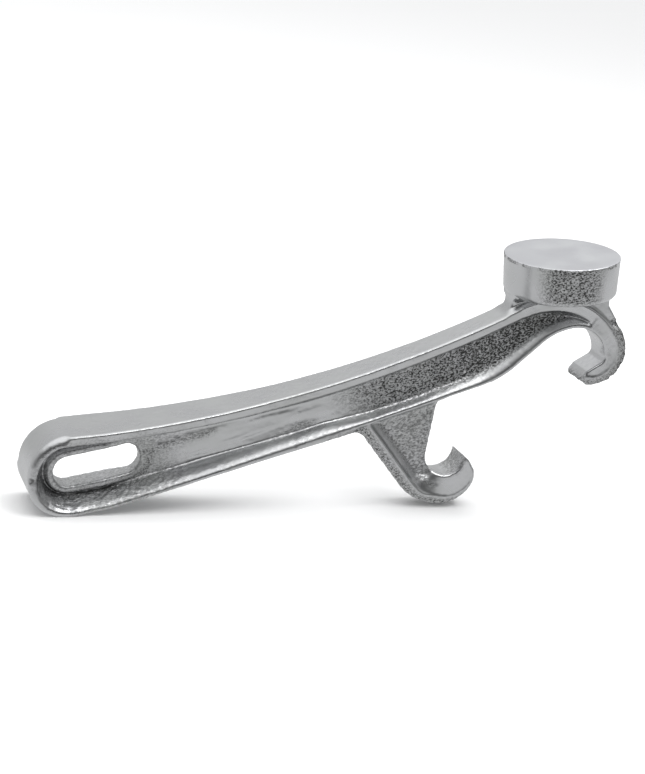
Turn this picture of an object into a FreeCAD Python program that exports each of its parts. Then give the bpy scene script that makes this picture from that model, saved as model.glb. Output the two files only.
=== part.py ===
import FreeCAD, Part
import os
from math import acos, asin, atan2, cos, degrees, hypot, radians, sin, sqrt

import Sketcher

# A cast hose-coupling spanner with a hammer head. The real tool is one iron casting, so every
# sub-part below is a region of that casting, and neighbours meet face to face.
# The tool plane is XZ and is drawn with the centre of the rounded handle end at (0, 0) and the
# hammer face level. Every sub-part then gets the same Placement, which stands the tool on its
# handle end and its lower hook, with z = 0 at the bench and x = 0 halfway along.

doc = FreeCAD.newDocument("coupling_spanner")

DIMENSIONS = [
    ("end_radius", 18.6, "outer radius of the handle's round end"),
    ("end_width", 27.2, "width of the flanges across the handle's round end"),
    ("grip_width", 19.6, "width of the flanges along the grip"),
    ("waist_width", 16.2, "width of the flanges over the side hook"),
    ("head_width", 15.8, "width of the flanges under the hammer"),
    ("taper_start", 15.0, "where the flanges start to narrow"),
    ("taper_end", 95.0, "where the flanges reach the grip's width"),
    ("waist_x", 160.0, "where the flanges reach the waist's width"),
    ("corner_radius", 16.6, "tighter radius at the lower corner of the handle's end"),
    ("upper_thickness", 5.0, "thickness of the upper flange"),
    ("lower_thickness", 4.0, "thickness of the lower flange and of the end loop"),
    ("web_thickness", 6.4, "thickness of the web between the flanges"),
    ("top_straight", 12.0, "straight run at the start of the upper flange"),
    ("top_radius", 570.0, "hollow sweep of the upper flange"),
    ("upper_split_x", 108.0, "where the upper flange's grip half meets its neck half"),
    ("head_joint_x", 205.0, "where the upper flange gives way to the crest under the hammer"),
    ("crest_x", 232.0, "centre of the crest's arc"),
    ("crest_radius", 42.0, "outer radius of the crest's arc"),
    ("sweep_radius", 140.0, "first sweep of the lower flange"),
    ("sweep_angle", 10.3, "slope of the lower flange after its first sweep"),
    ("long_radius", 3369.0, "long gentle sweep of the lower flange"),
    ("belly_angle", 13.3, "slope of the lower flange at the start of its belly"),
    ("belly_radius", 50.0, "belly of the lower flange under the head"),
    ("rise_angle", 38.0, "slope of the rise to the end hook"),
    ("rise_length", 15.7, "straight run of that rise"),
    ("nose_radius", 28.3, "turn from the rise into the end hook's mouth"),
    ("mouth_radius", 16.8, "radius of the end hook's mouth"),
    ("mouth_fillet", 3.5, "radius in the corner of the end hook's mouth"),
    ("floor_angle", 26.0, "slope of the floor of the end hook's mouth"),
    ("hook_x", 261.5, "centre of the end hook's back"),
    ("hook_z", 29.2, "height of the centre of the end hook's back"),
    ("hook_radius", 16.3, "outer radius of the end hook's back"),
    ("hook_tip_x", 254.2, "inner corner of the end hook's tip"),
    ("hook_tip_z", 22.3, "height of that corner"),
    ("hook_heel_x", 250.8, "outer corner of the end hook's tip"),
    ("hook_heel_z", 18.0, "height of that corner"),
    ("hook_back_angle", 255.0, "where the round back of the end hook turns into its tip"),
    ("jaw_width", 15.6, "width across both jaws"),
    ("rim_start_x", 137.0, "where the side hook's rim line crosses the lower flange's edge"),
    ("rim_fillet", 14.0, "radius from the grip's lower edge into the side hook's rim"),
    ("rim_thickness", 6.5, "thickness of the side hook's rim"),
    ("heel_x", 182.9, "centre of the side hook's round heel"),
    ("heel_z", -25.4, "height of that centre"),
    ("heel_radius", 15.4, "outer radius of the side hook's heel"),
    ("roll_radius", 28.0, "wider outer radius from that heel to the straight rim"),
    ("roll_angle", 262.0, "where the heel's radius gives way to the wider one"),
    ("seat_x", 182.5, "centre of the side hook's round seat"),
    ("seat_z", -14.7, "height of that centre"),
    ("seat_radius", 9.1, "radius of the side hook's seat"),
    ("jaw_angle", 245.0, "where the side hook's rim thickens into its jaw"),
    ("seat_tip_angle", 0.0, "where the seat's round wall ends at the tip"),
    ("side_tip_x", 194.8, "outer corner of the side hook's tip"),
    ("side_tip_z", -17.6, "height of that corner"),
    ("heel_end_angle", 8.0, "where the heel's round back turns into the tip"),
    ("gusset_thickness", 6.0, "thickness of the side hook's gusset panel"),
    ("gusset_foot_angle", 166.0, "where the gusset's free edge leaves the seat"),
    ("gusset_edge_angle", 80.0, "slope of the gusset's free edge"),
    ("gusset_fillet", 7.5, "radius between the gusset's free edge and the lower flange"),
    ("slot_x", 13.8, "centre of the hanging slot"),
    ("slot_z", 0.7, "height of that centre"),
    ("slot_tilt", 6.0, "tilt of the hanging slot"),
    ("slot_length", 40.0, "overall length of the hanging slot"),
    ("slot_radius", 7.1, "radius of the hanging slot's round ends"),
    ("collar_wall", 3.0, "wall of the raised collar around the slot"),
    ("collar_width", 11.6, "width across the raised collar"),
    ("hammer_x", 239.9, "axis of the hammer disc"),
    ("hammer_face_z", 80.2, "height of the hammer face"),
    ("hammer_radius", 27.5, "radius of the hammer face"),
    ("hammer_thickness", 18.5, "thickness of the hammer disc"),
    ("hammer_draft", 0.6, "how much the disc narrows towards its neck"),
    ("hammer_edge", 2.6, "round on the disc's lower edge"),
    ("neck_width", 9.0, "thickness of the neck plate under the hammer"),
    ("neck_left_x", 213.5, "left edge of the neck plate"),
    ("neck_fillet", 9.0, "radius from the neck plate into the upper flange"),
    ("neck_right_x", 265.4, "right edge of the neck plate"),
    ("neck_knee_z", 53.5, "height at which that right edge turns towards the end hook"),
]

sheet = doc.addObject("Spreadsheet::Sheet", "dims")
for row, (alias, number, meaning) in enumerate(DIMENSIONS, start=1):
    sheet.set("A%d" % row, meaning)
    sheet.set("B%d" % row, str(number))
    sheet.setAlias("B%d" % row, alias)
doc.recompute()


def dim(alias):
    return float(sheet.get(alias))


def along(start, angle, distance):
    """The point at a distance from start, in the direction of an angle in degrees."""
    return (start[0] + distance * cos(radians(angle)), start[1] + distance * sin(radians(angle)))


def bearing(start, end):
    return degrees(atan2(end[1] - start[1], end[0] - start[0]))


def circle_meets_circle(centre_a, radius_a, centre_b, radius_b, side):
    """Where two circles cross: side is +1 for the crossing left of the line from a to b."""
    gap = hypot(centre_b[0] - centre_a[0], centre_b[1] - centre_a[1])
    spread = degrees(acos((radius_a**2 + gap**2 - radius_b**2) / (2 * radius_a * gap)))
    return along(centre_a, bearing(centre_a, centre_b) + side * spread, radius_a)


def ray_meets_circle(start, angle, centre, radius, side=+1):
    """The crossing of a ray with a circle: side is +1 for the farther, -1 for the nearer."""
    dx, dz = start[0] - centre[0], start[1] - centre[1]
    half = dx * cos(radians(angle)) + dz * sin(radians(angle))
    return along(start, angle, -half + side * sqrt(half**2 - dx**2 - dz**2 + radius**2))


# ---------------------------------------------------------------- places worked out from the sheet

END = (0.0, 0.0)
TOP = (dim("top_straight"), dim("end_radius") + dim("top_radius"))
crest_reach = dim("top_radius") + dim("crest_radius")
CREST = (dim("crest_x"), TOP[1] - sqrt(crest_reach**2 - (dim("crest_x") - TOP[0])**2))
SWEEP = (0.0, dim("sweep_radius") - dim("end_radius"))
sweep_end = along(SWEEP, dim("sweep_angle") - 90, dim("sweep_radius"))
LONG = along(sweep_end, dim("sweep_angle") + 90, dim("long_radius"))
long_end = along(LONG, dim("belly_angle") - 90, dim("long_radius"))
BELLY = along(long_end, dim("belly_angle") + 90, dim("belly_radius"))
rise_start = along(BELLY, dim("rise_angle") - 90, dim("belly_radius"))
rise_end = along(rise_start, dim("rise_angle"), dim("rise_length"))
NOSE = along(rise_end, dim("rise_angle") - 90, dim("nose_radius"))
MOUTH = (NOSE[0], NOSE[1] + dim("nose_radius") - dim("mouth_radius"))
HOOK = (dim("hook_x"), dim("hook_z"))
HEEL = (dim("heel_x"), dim("heel_z"))
SEAT = (dim("seat_x"), dim("seat_z"))

# The bench is the line that touches the handle's round end and the side hook's heel from below.
heel_drop = (dim("heel_radius") - dim("end_radius")) / hypot(HEEL[0], HEEL[1])
lean = degrees(asin(heel_drop)) - bearing(END, HEEL)
down = 270 - lean
corner_shift = dim("end_radius") - dim("corner_radius")
CORNER = along(along(END, down, corner_shift), down - 90, corner_shift)

# The side hook's rim is a straight line from the lower flange that touches the wide radius of its
# back, and a fillet leads into it from the straight lower edge of the grip.
ROLL = along(HEEL, dim("roll_angle") + 180, dim("roll_radius") - dim("heel_radius"))
rim_start = ray_meets_circle((dim("rim_start_x"), LONG[1]), -90, LONG, dim("long_radius"))
roll_gap = hypot(ROLL[0] - rim_start[0], ROLL[1] - rim_start[1])
rim_angle = bearing(rim_start, ROLL) - degrees(asin(dim("roll_radius") / roll_gap))
grip_angle = dim("sweep_angle")
grip_side = along(sweep_end, grip_angle - 90, dim("rim_fillet"))
rim_side = along(rim_start, rim_angle - 90, dim("rim_fillet"))
gap_x, gap_z = rim_side[0] - grip_side[0], rim_side[1] - grip_side[1]
fillet_run = (gap_z * cos(radians(rim_angle)) - gap_x * sin(radians(rim_angle))) \
    / sin(radians(grip_angle - rim_angle))
RIM_FILLET = along(grip_side, grip_angle, fillet_run)
grip_foot = along(RIM_FILLET, grip_angle + 90, dim("rim_fillet"))
grip_shoulder = ray_meets_circle(grip_foot, grip_angle + 90, LONG, dim("long_radius"), -1)

# The rim's inner edge, and the straight joint between the rim, the gusset and the jaw.
rim_inner = dim("roll_radius") - dim("rim_thickness")
rim_root = ray_meets_circle(along(ROLL, rim_angle - 90, rim_inner), rim_angle + 180, LONG,
                            dim("long_radius"), -1)
joint_outside = ray_meets_circle(HEEL, dim("jaw_angle"), ROLL, dim("roll_radius"))
joint_inside = ray_meets_circle(HEEL, dim("jaw_angle"), ROLL, rim_inner)
joint_seat = ray_meets_circle(HEEL, dim("jaw_angle") + 180, SEAT, dim("seat_radius"), -1)

# The flanges run together at the pocket, and the jaw starts on the crest's radius through it.
pocket = circle_meets_circle(CREST, dim("crest_radius") - dim("upper_thickness"),
                             MOUTH, dim("mouth_radius") + dim("lower_thickness"), +1)
pocket_angle = bearing(CREST, pocket)
jaw_inner = ray_meets_circle(CREST, pocket_angle, MOUTH, dim("mouth_radius"))
jaw_outer = along(CREST, pocket_angle, dim("crest_radius"))

# ------------------------------------------------------------------------------ outline makers


def line(start, end):
    return {"kind": "line", "start": start, "end": end}


def arc(centre, radius, start_angle, end_angle, size=None):
    """An arc walked from one angle to the other, whichever is larger. size is the expression that
    its radius is bound to."""
    return {"kind": "arc", "centre": centre, "radius": radius, "from": start_angle,
            "to": end_angle, "size": size, "start": along(centre, start_angle, radius),
            "end": along(centre, end_angle, radius)}


def turned(edges):
    """The same run of edges walked the other way."""
    result = []
    for edge in reversed(edges):
        if edge["kind"] == "line":
            result.append(line(edge["end"], edge["start"]))
        else:
            result.append(arc(edge["centre"], edge["radius"], edge["to"], edge["from"], edge["size"]))
    return result


def closed(edges):
    """Joins run after run with straight edges and closes the outline."""
    result = []
    for index, edge in enumerate(edges):
        result.append(edge)
        following = edges[(index + 1) % len(edges)]["start"]
        if hypot(edge["end"][0] - following[0], edge["end"][1] - following[1]) > 1e-6:
            result.append(line(edge["end"], following))
    return result


def on_top(x):
    """The bearing of the upper flange's edge from its sweep's centre, at a distance along it."""
    return bearing(TOP, ray_meets_circle((x, TOP[1]), -90, TOP, dim("top_radius")))


joint_angle, upper_split = on_top(dim("head_joint_x")), on_top(dim("upper_split_x"))
meet = bearing(TOP, CREST)


def upper_start(inset):
    """The straight start of the upper flange's edge, lowered by inset."""
    level = dim("end_radius") - inset
    return line((0.0, level), (TOP[0], level))


def upper_sweep(inset, expression, first, last):
    """A run of the upper flange's hollow sweep, lowered by inset."""
    return arc(TOP, dim("top_radius") + inset, first, last, "dims.top_radius" + expression)


def crest_run(inset, expression, rolled):
    """The crest's edge from the head joint, over the arc under the hammer, to the jaw."""
    return [arc(TOP, dim("top_radius") + inset, joint_angle, meet, "dims.top_radius" + expression),
            arc(CREST, dim("crest_radius") - inset, meet + 180, pocket_angle,
                "dims.crest_radius" + rolled)]


def lower_run(inset, shrink, grow, long_start, mouth_end):
    """The lower flange's edge, raised by inset, from the handle's end to the end hook's mouth."""
    sweep_stop, belly_start = dim("sweep_angle") - 90, dim("belly_angle") - 90
    rise = dim("rise_angle") - 90
    return [arc(SWEEP, dim("sweep_radius") - inset, -90, sweep_stop, "dims.sweep_radius" + shrink),
            arc(LONG, dim("long_radius") - inset, long_start, belly_start,
                "dims.long_radius" + shrink),
            arc(BELLY, dim("belly_radius") - inset, belly_start, rise, "dims.belly_radius" + shrink),
            line(along(rise_start, rise + 180, inset), along(rise_end, rise + 180, inset)),
            arc(NOSE, dim("nose_radius") + inset, rise + 180, 90, "dims.nose_radius" + grow),
            arc(MOUTH, dim("mouth_radius") + inset, 90, mouth_end, "dims.mouth_radius" + grow)]


def stadium(centre, tilt, half_run, radius, expression):
    """A slot's outline: two round ends joined by straight sides."""
    far, near = along(centre, tilt, half_run), along(centre, tilt + 180, half_run)
    return closed([arc(far, radius, tilt - 90, tilt + 90, expression),
                   arc(near, radius, tilt + 90, tilt + 270, expression)])


# ------------------------------------------------------------------------- sketches and bodies


def plane_of(body, role):
    return next(item for item in body.Origin.OriginFeatures if item.Role == role)


def draw(body, name, loops, role="XZ_Plane"):
    """A sketch on one of the body's own planes, with each arc's radius bound to the sheet."""
    sketch = body.newObject("Sketcher::SketchObject", name)
    sketch.AttachmentSupport = [(plane_of(body, role), "")]
    sketch.MapMode = "FlatFace"
    for loop in loops:
        first = sketch.GeometryCount
        for edge in loop:
            start, end = FreeCAD.Vector(*edge["start"], 0), FreeCAD.Vector(*edge["end"], 0)
            if edge["kind"] == "line":
                sketch.addGeometry(Part.LineSegment(start, end), False)
                continue
            circle = Part.Circle(FreeCAD.Vector(*edge["centre"], 0), FreeCAD.Vector(0, 0, 1),
                                 edge["radius"])
            low, high = sorted((radians(edge["from"]), radians(edge["to"])))
            sketch.addGeometry(Part.ArcOfCircle(circle, low, high), False)
        for index, edge in enumerate(loop):
            following = (index + 1) % len(loop)
            ends = (2 if ahead(edge) else 1, 1 if ahead(loop[following]) else 2)
            sketch.addConstraint(Sketcher.Constraint("Coincident", first + index, ends[0],
                                                     first + following, ends[1]))
        for index, edge in enumerate(loop):
            if edge["kind"] == "arc" and edge["size"]:
                number = sketch.addConstraint(
                    Sketcher.Constraint("Radius", first + index, edge["radius"]))
                sketch.setExpression("Constraints[%d]" % number, edge["size"])
    return sketch


def ahead(edge):
    """True where the edge is stored in the direction that the outline is walked."""
    return edge["kind"] == "line" or edge["to"] > edge["from"]


def plate(name, loops, width):
    """A body padded evenly to both sides of the tool's mid-plane, width being an expression."""
    body = doc.addObject("PartDesign::Body", name)
    body.Label = name
    outline = draw(body, name + "_outline", loops)
    pad = body.newObject("PartDesign::Pad", name + "_pad")
    pad.Profile = outline
    pad.Midplane = True
    pad.setExpression("Length", width)
    body.Tip = pad
    return body


def narrow(body):
    """Tapers a full-width flange in plan, from the handle's end to the grip and the head."""
    outside, beyond = dim("end_width"), dim("hook_x") + dim("crest_radius")
    steps = [(dim("taper_start"), dim("end_width") / 2), (dim("taper_end"), dim("grip_width") / 2),
             (dim("waist_x"), dim("waist_width") / 2), (dim("head_joint_x"), dim("head_width") / 2),
             (beyond, dim("head_width") / 2), (beyond, outside), (dim("taper_start"), outside)]
    sides = []
    for side in (1, -1):
        corners = [(x, side * y) for x, y in steps]
        sides.append([line(corner, corners[(index + 1) % len(corners)])
                      for index, corner in enumerate(corners)])
    taper = draw(body, body.Name + "_taper", sides, "XY_Plane")
    doc.recompute()
    before = body.Shape.Volume
    cut = body.newObject("PartDesign::Pocket", body.Name + "_narrowing")
    cut.Profile = taper
    cut.Type = "ThroughAll"
    cut.Midplane = True
    body.Tip = cut
    doc.recompute()
    if body.Shape.Volume > before - 1:
        raise RuntimeError("the taper removed nothing from " + body.Name)
    return body


# -------------------------------------------------------------------------------- the handle

UPPER, LOWER = " + dims.upper_thickness", " - dims.lower_thickness"
inner_end = dim("end_radius") - dim("lower_thickness")


def make_end_loop():
    return plate("end_loop", [closed([
        arc(END, dim("end_radius"), 90, down - 90, "dims.end_radius"),
        arc(CORNER, dim("corner_radius"), down - 90, down, "dims.corner_radius"),
        arc(END, dim("end_radius"), down, 270, "dims.end_radius"),
        arc(END, inner_end, 270, 90, "dims.end_radius" + LOWER)])], "dims.end_width")


def make_upper_grip():
    top = [upper_start(0), upper_sweep(0, "", -90, upper_split)]
    thickness = dim("upper_thickness")
    underside = [upper_start(thickness), upper_sweep(thickness, UPPER, -90, upper_split)]
    return narrow(plate("upper_flange_grip", [closed(top + turned(underside))], "dims.end_width"))


def make_upper_neck():
    top = [upper_sweep(0, "", upper_split, joint_angle)]
    underside = [upper_sweep(dim("upper_thickness"), UPPER, upper_split, joint_angle)]
    return narrow(plate("upper_flange_neck", [closed(top + turned(underside))], "dims.end_width"))


def lower_floor(long_start):
    """The lower flange's upper edge, where the web starts."""
    return lower_run(dim("lower_thickness"), LOWER, " + dims.lower_thickness", long_start,
                     bearing(MOUTH, pocket))


shoulder = bearing(LONG, grip_shoulder)


def make_lower_grip():
    underside = [lower_run(0, "", "", shoulder, 0)[0], line(sweep_end, grip_foot),
                 line(grip_foot, grip_shoulder)]
    sweep, floor = lower_floor(dim("sweep_angle") - 90)[:2]
    floor = arc(LONG, floor["radius"], floor["from"], shoulder, floor["size"])
    outline = closed(underside + turned([sweep, floor]))
    return narrow(plate("lower_flange_grip", [outline], "dims.end_width"))


def make_lower_belly():
    underside = lower_run(0, "", "", shoulder, bearing(MOUTH, jaw_inner))[1:]
    outline = closed(underside + turned(lower_floor(shoulder)[1:]))
    return narrow(plate("lower_flange_belly", [outline], "dims.end_width"))


def make_web():
    thickness = dim("upper_thickness")
    ceiling = [upper_start(thickness), upper_sweep(thickness, UPPER, -90, joint_angle)]
    ceiling += crest_run(thickness, UPPER, " - dims.upper_thickness")
    floor = turned(lower_floor(dim("sweep_angle") - 90))
    outline = closed(ceiling + floor + [arc(END, inner_end, 270, 90, "dims.end_radius" + LOWER)])
    hole = collar_outline(dim("slot_radius") + dim("collar_wall"),
                          "dims.slot_radius + dims.collar_wall")
    return plate("handle_web", [outline, hole], "dims.web_thickness")


def collar_outline(radius, expression):
    half_run = dim("slot_length") / 2 - dim("slot_radius")
    return stadium((dim("slot_x"), dim("slot_z")), dim("slot_tilt"), half_run, radius, expression)


def make_slot_collar():
    outer = collar_outline(dim("slot_radius") + dim("collar_wall"),
                           "dims.slot_radius + dims.collar_wall")
    inner = collar_outline(dim("slot_radius"), "dims.slot_radius")
    return plate("slot_collar", [outer, inner], "dims.collar_width")


# ---------------------------------------------------------------- the head and its end hook

back = circle_meets_circle(CREST, dim("crest_radius"), HOOK, dim("hook_radius"), +1)


def make_crest():
    top = crest_run(0, "", "")
    underside = crest_run(dim("upper_thickness"), UPPER, " - dims.upper_thickness")
    return plate("crest_flange", [closed(top + turned(underside))], "dims.head_width")


def make_neck():
    under = dim("hammer_face_z") - dim("hammer_thickness")
    fillet = dim("neck_fillet")
    centre_x = dim("neck_left_x") - fillet
    reach = dim("top_radius") - fillet
    centre = (centre_x, TOP[1] - sqrt(reach**2 - (centre_x - TOP[0])**2))
    foot = bearing(TOP, centre)
    knee = (dim("neck_right_x"), dim("neck_knee_z"))
    knee_gap = hypot(knee[0] - HOOK[0], knee[1] - HOOK[1])
    touch = bearing(HOOK, knee) - degrees(acos(dim("hook_radius") / knee_gap))
    outline = [line((dim("neck_left_x"), under), (dim("neck_left_x"), centre[1])),
               arc(centre, fillet, 0, foot, "dims.neck_fillet"),
               arc(TOP, dim("top_radius"), foot, meet, "dims.top_radius"),
               arc(CREST, dim("crest_radius"), meet + 180, bearing(CREST, back),
                   "dims.crest_radius"),
               arc(HOOK, dim("hook_radius"), bearing(HOOK, back), touch, "dims.hook_radius"),
               line(along(HOOK, touch, dim("hook_radius")), knee),
               line(knee, (dim("neck_right_x"), under))]
    return plate("hammer_neck", [closed(outline)], "dims.neck_width")


def make_end_jaw():
    floor = dim("floor_angle")
    tip, heel = (dim("hook_tip_x"), dim("hook_tip_z")), (dim("hook_heel_x"), dim("hook_heel_z"))
    fillet = dim("mouth_fillet")
    raised = along(tip, floor + 90, fillet)
    corner = ray_meets_circle(raised, floor, MOUTH, dim("mouth_radius") - fillet)
    wall_end = bearing(MOUTH, corner)
    outline = [arc(MOUTH, dim("mouth_radius"), bearing(MOUTH, jaw_inner), wall_end,
                   "dims.mouth_radius"),
               arc(corner, fillet, wall_end, floor - 90, "dims.mouth_fillet"),
               line(along(corner, floor - 90, fillet), tip),
               line(tip, heel),
               line(heel, along(HOOK, dim("hook_back_angle"), dim("hook_radius"))),
               arc(HOOK, dim("hook_radius"), dim("hook_back_angle") - 360, bearing(HOOK, back),
                   "dims.hook_radius"),
               arc(CREST, dim("crest_radius"), bearing(CREST, back), pocket_angle,
                   "dims.crest_radius")]
    return plate("end_hook_jaw", [closed(outline)], "dims.jaw_width")


def make_hammer():
    body = doc.addObject("PartDesign::Body", "hammer_disc")
    body.Label = "hammer_disc"
    top, axis_x = dim("hammer_face_z"), dim("hammer_x")
    bottom = top - dim("hammer_thickness")
    wall, edge = axis_x + dim("hammer_radius") - dim("hammer_draft"), dim("hammer_edge")
    outline = closed([line((axis_x, bottom), (wall - edge, bottom)),
                      arc((wall - edge, bottom + edge), edge, -90, 0, "dims.hammer_edge"),
                      line((wall, bottom + edge), (axis_x + dim("hammer_radius"), top)),
                      line((axis_x + dim("hammer_radius"), top), (axis_x, top))])
    profile = draw(body, "hammer_profile", [outline])
    axis_line = len(outline) - 1
    spin = body.newObject("PartDesign::Revolution", "hammer_turned")
    spin.Profile = profile
    spin.ReferenceAxis = (profile, ["Edge%d" % (axis_line + 1)])
    spin.Angle = 360
    body.Tip = spin
    return body


# -------------------------------------------------------------------------------- the side hook


def on_long(point):
    """The bearing of a point of the lower flange's long sweep from that sweep's centre."""
    return bearing(LONG, point)


def on_roll(point):
    """The bearing of a point from the centre of the wide radius, as an angle below 360."""
    return bearing(ROLL, point) % 360


def make_side_rim():
    outline = [arc(RIM_FILLET, dim("rim_fillet"), grip_angle + 90, rim_angle + 90,
                   "dims.rim_fillet"),
               arc(ROLL, dim("roll_radius"), rim_angle + 270, on_roll(joint_outside),
                   "dims.roll_radius"),
               arc(ROLL, rim_inner, on_roll(joint_inside), rim_angle + 270,
                   "dims.roll_radius - dims.rim_thickness"),
               arc(LONG, dim("long_radius"), on_long(rim_root), on_long(grip_shoulder),
                   "dims.long_radius")]
    return plate("side_hook_rim", [closed(outline)], "dims.waist_width")


def make_gusset():
    edge, fillet = dim("gusset_edge_angle"), dim("gusset_fillet")
    foot = along(SEAT, dim("gusset_foot_angle"), dim("seat_radius"))
    centre = ray_meets_circle(along(foot, edge - 90, fillet), edge, LONG,
                              dim("long_radius") + fillet, -1)
    outline = [arc(LONG, dim("long_radius"), on_long(rim_root), on_long(centre),
                   "dims.long_radius"),
               arc(centre, fillet, on_long(centre) + 180, edge + 90, "dims.gusset_fillet"),
               arc(SEAT, dim("seat_radius"), dim("gusset_foot_angle"),
                   bearing(SEAT, joint_seat) + 360, "dims.seat_radius"),
               arc(ROLL, rim_inner, on_roll(joint_inside), rim_angle + 270,
                   "dims.roll_radius - dims.rim_thickness")]
    return plate("side_hook_gusset", [closed(outline)], "dims.gusset_thickness")


def make_side_jaw():
    tip = (dim("side_tip_x"), dim("side_tip_z"))
    roll = dim("roll_angle") - 360
    outline = [arc(SEAT, dim("seat_radius"), bearing(SEAT, joint_seat), dim("seat_tip_angle"),
                   "dims.seat_radius"),
               line(along(SEAT, dim("seat_tip_angle"), dim("seat_radius")), tip),
               arc(HEEL, dim("heel_radius"), dim("heel_end_angle"), roll, "dims.heel_radius"),
               arc(ROLL, dim("roll_radius"), roll, on_roll(joint_outside) - 360,
                   "dims.roll_radius")]
    return plate("side_hook_jaw", [closed(outline)], "dims.jaw_width")


# ------------------------------------------------------------------------ standing the tool up

bodies = [make_end_loop(), make_upper_grip(), make_upper_neck(), make_lower_grip(),
          make_lower_belly(), make_web(),
          make_slot_collar(), make_crest(), make_neck(), make_end_jaw(), make_hammer(),
          make_side_rim(), make_gusset(), make_side_jaw()]
doc.recompute()

hook_reach = HOOK[0] * cos(radians(lean)) - HOOK[1] * sin(radians(lean)) + dim("hook_radius")
middle = (hook_reach - dim("end_radius")) / 2
standing = FreeCAD.Placement(FreeCAD.Vector(-middle, 0, dim("end_radius")),
                             FreeCAD.Rotation(FreeCAD.Vector(0, 1, 0), -lean))
for body in bodies:
    body.Placement = standing
doc.recompute()

for item in doc.Objects:
    if "Invalid" in item.State or "Error" in item.State:
        raise RuntimeError("%s failed to build" % item.Label)
for body in bodies:
    if body.Shape.isNull() or not body.Shape.isValid() or body.Shape.Volume <= 0:
        raise RuntimeError("%s has no valid solid" % body.Label)

os.makedirs("parts", exist_ok=True)
for body in bodies:
    body.Shape.exportStep("parts/%s.step" % body.Label)
    print("%-18s %9.1f mm3" % (body.Label, body.Shape.Volume))
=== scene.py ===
from math import acos, asin, atan2, cos, degrees, hypot, radians, sin, sqrt

import bmesh
import bpy
import numpy as np
from mathutils import Matrix, Vector


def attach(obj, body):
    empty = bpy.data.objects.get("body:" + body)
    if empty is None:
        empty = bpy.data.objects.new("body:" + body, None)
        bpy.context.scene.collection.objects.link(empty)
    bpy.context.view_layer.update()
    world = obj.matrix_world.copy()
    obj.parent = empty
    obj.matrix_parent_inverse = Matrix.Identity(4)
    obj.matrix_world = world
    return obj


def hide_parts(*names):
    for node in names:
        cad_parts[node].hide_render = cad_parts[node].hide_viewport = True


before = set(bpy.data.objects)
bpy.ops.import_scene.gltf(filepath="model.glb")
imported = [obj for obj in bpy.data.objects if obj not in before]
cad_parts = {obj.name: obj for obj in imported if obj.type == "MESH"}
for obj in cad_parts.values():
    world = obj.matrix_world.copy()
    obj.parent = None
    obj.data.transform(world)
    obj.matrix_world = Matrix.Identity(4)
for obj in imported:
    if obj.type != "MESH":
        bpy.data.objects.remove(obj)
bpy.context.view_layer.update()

# The tool is one bright-plated iron casting. It is worked out as a field over a grid: an outline
# in the tool's own plane, and a height of the surface above that plane. Lengths are in
# millimetres, in the tool's plane: x runs from the handle's round end to the head, z is up with
# the hammer face level, and y runs across. The finished vertices are stood up into the frame.

END, END_RADIUS = (0.0, 0.0), 18.6
HEEL, HEEL_RADIUS = (182.9, -25.4), 15.4
HOOK, HOOK_RADIUS = (261.5, 29.2), 16.3
LEAN = asin((HEEL_RADIUS - END_RADIUS) / hypot(*HEEL)) - atan2(HEEL[1], HEEL[0])
MIDDLE = (HOOK[0] * cos(LEAN) - HOOK[1] * sin(LEAN) + HOOK_RADIUS - END_RADIUS) / 2
MM = 0.001


def stand(points):
    """From the tool's plane in millimetres to the frame in metres."""
    x, y, z = points[:, 0], points[:, 1], points[:, 2]
    return np.stack([(x * cos(LEAN) - z * sin(LEAN) - MIDDLE) * MM, y * MM,
                     (x * sin(LEAN) + z * cos(LEAN) + END_RADIUS) * MM], axis=1)


def stand_direction(vectors):
    """The same turn for directions."""
    x, y, z = vectors[:, 0], vectors[:, 1], vectors[:, 2]
    return np.stack([x * cos(LEAN) - z * sin(LEAN), y, x * sin(LEAN) + z * cos(LEAN)], axis=1)


# ------------------------------------------------------------------------- plane geometry


def along(start, angle, distance):
    """The point at a distance from start, in the direction of an angle in degrees."""
    return (start[0] + distance * cos(radians(angle)), start[1] + distance * sin(radians(angle)))


def bearing(start, end):
    """The direction in degrees in which end is seen from start."""
    return degrees(atan2(end[1] - start[1], end[0] - start[0]))


def circle_meets_circle(centre_a, radius_a, centre_b, radius_b):
    """The crossing of two circles that is left of the line from a to b."""
    gap = hypot(centre_b[0] - centre_a[0], centre_b[1] - centre_a[1])
    spread = degrees(acos((radius_a**2 + gap**2 - radius_b**2) / (2 * radius_a * gap)))
    return along(centre_a, bearing(centre_a, centre_b) + spread, radius_a)


def ray_meets_circle(start, angle, centre, radius, far=True):
    """Where a line from start, in the direction of an angle, leaves or enters a circle."""
    dx, dz = start[0] - centre[0], start[1] - centre[1]
    half = dx * cos(radians(angle)) + dz * sin(radians(angle))
    root = sqrt(half**2 - dx**2 - dz**2 + radius**2)
    return along(start, angle, -half + (root if far else -root))


TOP, TOP_RADIUS = (12.0, 588.6), 570.0
CREST_X, CREST_RADIUS = 232.0, 42.0
CREST = (CREST_X, TOP[1] - sqrt((TOP_RADIUS + CREST_RADIUS)**2 - (CREST_X - TOP[0])**2))
MEET = bearing(TOP, CREST)
SWEEP, SWEEP_RADIUS = (0.0, 121.4), 140.0
LONG_RADIUS, BELLY_RADIUS, NOSE_RADIUS = 3369.0, 50.0, 28.3
SWEEP_STOP, BELLY_START, RISE = 10.3 - 90, 13.3 - 90, 38.0 - 90
RISE_LENGTH = 15.7
sweep_end = along(SWEEP, SWEEP_STOP, SWEEP_RADIUS)
LONG = along(sweep_end, SWEEP_STOP + 180, LONG_RADIUS)
BELLY = along(along(LONG, BELLY_START, LONG_RADIUS), BELLY_START + 180, BELLY_RADIUS)
rise_start = along(BELLY, RISE, BELLY_RADIUS)
rise_end = along(rise_start, RISE + 90, RISE_LENGTH)
NOSE = along(rise_end, RISE, NOSE_RADIUS)
MOUTH_RADIUS = 16.8
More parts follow.
